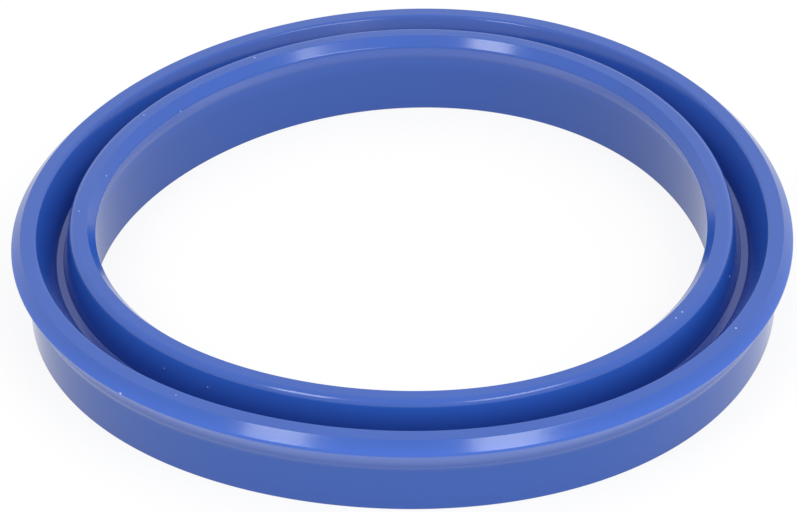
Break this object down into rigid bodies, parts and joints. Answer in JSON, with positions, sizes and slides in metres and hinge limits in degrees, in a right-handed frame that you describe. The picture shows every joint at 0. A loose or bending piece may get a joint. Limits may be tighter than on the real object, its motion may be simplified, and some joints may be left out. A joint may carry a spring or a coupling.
{
  "type": "u-cup seal",
  "caption": "One-piece elastomer U-cup seal ring: solid heel, two flared sealing lips with bevelled edges, and a tapered groove between them that takes the pressure.",
  "frame": {"origin": "centre of the ring at the underside of the heel, where the ring rests", "axes": "+Z along the ring's axis, up out of the open groove; the ring is round, so +X and +Y are free"},
  "size_m": [0.0994, 0.0994, 0.0117],
  "materials": {
    "polyurethane": "smooth satin moulded polyurethane, medium blue"
  },
  "bodies": {
    "root": {"u_cup_seal": "polyurethane"}
  },
  "joints": []
}
